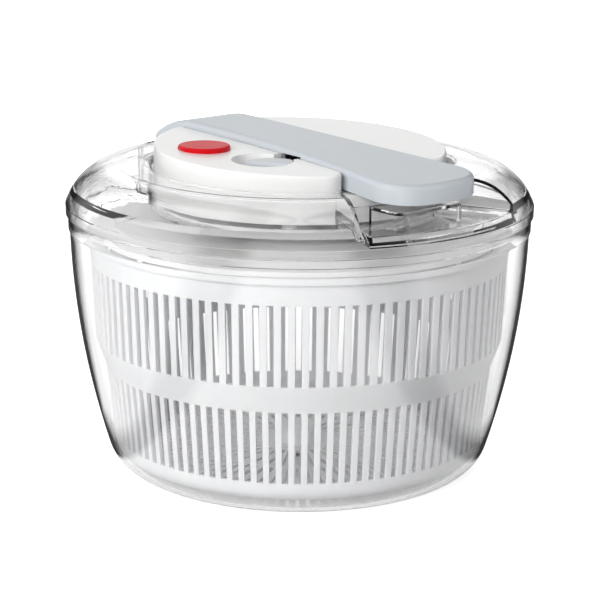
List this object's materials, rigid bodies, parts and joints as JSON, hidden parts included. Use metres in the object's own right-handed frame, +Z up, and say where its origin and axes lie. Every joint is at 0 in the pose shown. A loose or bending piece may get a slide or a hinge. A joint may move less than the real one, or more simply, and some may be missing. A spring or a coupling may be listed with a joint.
{
  "type": "salad spinner",
  "caption": "Lever-driven salad spinner: clear bowl and domed lid, slotted white basket, grey hinged lever in a white housing, red brake button and a slide lock.",
  "frame": {"origin": "middle of the bowl's flat base", "axes": "+Z up along the basket's axis; the picture looks along +Y, with +X to its right"},
  "size_m": [0.255, 0.255, 0.184],
  "materials": {
    "clear_plastic": "clear, polished",
    "basket_white": "satin, moulded",
    "cover_white": "satin, moulded",
    "lever_grey": "satin, moulded",
    "button_red": "gloss",
    "slider_grey": "satin, moulded",
    "frame_white": "moulded",
    "gear_nylon": "moulded",
    "steel": "bright",
    "brake_rubber": "matt"
  },
  "bodies": {
    "bowl": {"bowl": "clear_plastic"},
    "basket": {"basket": "basket_white", "basket_bush": "gear_nylon"},
    "lid": {"lid": "clear_plastic", "mechanism_base": "frame_white", "gear_plate": "frame_white", "plate_screws": "steel", "cover_screws": "steel", "gear_axles": "steel", "housing_cover": "cover_white", "lever_pin": "steel", "lever_spring": "steel", "spindle_bush": "gear_nylon", "brake_spring": "steel"},
    "drive": {"spindle": "steel", "pawl_carrier": "gear_nylon", "pawls": "gear_nylon", "drive_plate": "frame_white", "drive_screw": "steel"},
    "clutch": {"clutch_gear": "gear_nylon"},
    "lever": {"lever": "lever_grey", "lever_sector": "gear_nylon"},
    "rack": {"rack": "gear_nylon"},
    "gear_1": {"compound_gear_1": "gear_nylon"},
    "gear_2": {"compound_gear_2": "gear_nylon"},
    "brake": {"brake_button": "button_red", "brake_stem": "frame_white", "brake_pad": "brake_rubber"},
    "lock": {"lock_slider": "slider_grey", "lock_clip": "frame_white"}
  },
  "joints": [
    {"name": "basket_spin", "type": "hinge", "parent": "bowl", "child": "basket", "pos_m": [0, 0, 0.0085], "axis": [0, 0, 1], "continuous": true},
    {"name": "lid_lift", "type": "slide", "parent": "bowl", "child": "lid", "axis": [0, 0, 1], "range_m": [0, 0.15]},
    {"name": "drive_spin", "type": "hinge", "parent": "lid", "child": "drive", "pos_m": [0, 0, 0.1434], "axis": [0, 0, 1], "continuous": true},
    {"name": "lever_pivot", "type": "hinge", "parent": "lid", "child": "lever", "pos_m": [-0.06156, 0.06837, 0.16875], "axis": [-0.7431, -0.6691, 0], "range_deg": [0, 24]},
    {"name": "rack_slide", "type": "slide", "parent": "lid", "child": "rack", "axis": [0.6691, -0.7431, 0], "range_m": [0, 0.007]},
    {"name": "gear_1_spin", "type": "hinge", "parent": "lid", "child": "gear_1", "pos_m": [-0.0313, 0.01757, 0.1479], "axis": [0, 0, 1], "range_deg": [-53, 0]},
    {"name": "gear_2_spin", "type": "hinge", "parent": "lid", "child": "gear_2", "pos_m": [-0.00238, 0.03241, 0.1479], "axis": [0, 0, 1], "range_deg": [0, 175]},
    {"name": "clutch_spin", "type": "hinge", "parent": "lid", "child": "clutch", "pos_m": [0, 0, 0.1479], "axis": [0, 0, 1], "range_deg": [-580, 0]},
    {"name": "brake_press", "type": "slide", "parent": "lid", "child": "brake", "axis": [0, 0, -1], "range_m": [0, 0.003], "stiffness_N_per_m": 800, "springref_m": -0.001, "deforming": ["brake_spring"]},
    {"name": "lock_slide", "type": "slide", "parent": "lid", "child": "lock", "axis": [-0.6691, 0.7431, 0], "range_m": [0, 0.008]}
  ],
  "couplings": [
    {"joint": "drive_spin", "follows": "basket_spin", "ratio": 1},
    {"joint": "rack_slide", "follows": "lever_pivot", "m_per_rad": 0.01625},
    {"joint": "gear_1_spin", "follows": "lever_pivot", "ratio": -2.1667},
    {"joint": "gear_2_spin", "follows": "lever_pivot", "ratio": 7.2222},
    {"joint": "clutch_spin", "follows": "lever_pivot", "ratio": -24.074}
  ]
}
